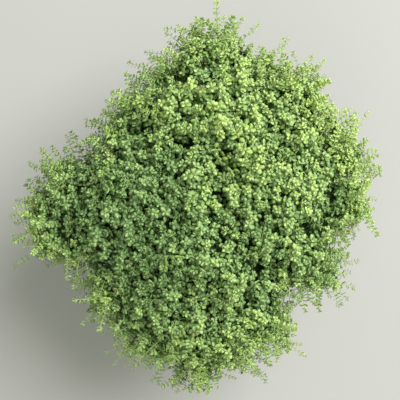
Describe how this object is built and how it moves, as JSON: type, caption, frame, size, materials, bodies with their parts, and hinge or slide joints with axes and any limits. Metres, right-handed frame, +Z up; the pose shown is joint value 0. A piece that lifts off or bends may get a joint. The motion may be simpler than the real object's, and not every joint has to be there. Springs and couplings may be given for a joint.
{
  "type": "potted sandwort",
  "caption": "Low domed cushion of tiny rounded green leaves on fine stems, spilling over a plain round nursery pot.",
  "frame": {"origin": "centre of the pot's base, on the surface that it stands on", "axes": "+Z up along the pot's axis, +X and +Y across the mound, which reaches furthest along Y"},
  "size_m": [0.2512, 0.2609, 0.1647],
  "materials": {
    "pot": "satin",
    "soil": "matte",
    "leaf": "satin",
    "stem": "matte"
  },
  "bodies": {
    "root": {"nursery_pot": "pot", "root_ball": "soil", "root_crown": "stem", "main_stem_01": "stem", "main_stem_02": "stem", "main_stem_03": "stem", "main_stem_04": "stem", "main_stem_05": "stem", "main_stem_06": "stem", "main_stem_07": "stem", "main_stem_08": "stem", "main_stem_09": "stem", "main_stem_10": "stem", "main_stem_11": "stem", "main_stem_12": "stem", "main_stem_13": "stem", "main_stem_14": "stem", "main_stem_15": "stem", "main_stem_16": "stem", "main_stem_17": "stem", "main_stem_18": "stem", "main_stem_19": "stem", "main_stem_20": "stem", "main_stem_21": "stem", "main_stem_22": "stem", "main_stem_23": "stem", "main_stem_24": "stem", "main_stem_25": "stem", "main_stem_26": "stem", "main_stem_27": "stem", "main_stem_28": "stem", "leafy_clump_01": "leaf", "leafy_clump_02": "leaf", "leafy_clump_03": "leaf", "leafy_clump_04": "leaf", "leafy_clump_05": "leaf", "leafy_clump_06": "leaf", "leafy_clump_07": "leaf", "leafy_clump_08": "leaf", "leafy_clump_09": "leaf", "leafy_clump_10": "leaf", "leafy_clump_11": "leaf", "leafy_clump_12": "leaf", "leafy_clump_13": "leaf", "leafy_clump_14": "leaf", "leafy_clump_15": "leaf", "leafy_clump_16": "leaf", "leafy_clump_17": "leaf", "leafy_clump_18": "leaf", "leafy_clump_19": "leaf", "leafy_clump_20": "leaf", "leafy_clump_21": "leaf", "leafy_clump_22": "leaf", "leafy_clump_23": "leaf", "leafy_clump_24": "leaf", "leafy_clump_25": "leaf", "leafy_clump_26": "leaf", "leafy_clump_27": "leaf", "leafy_clump_28": "leaf"}
  },
  "joints": []
}
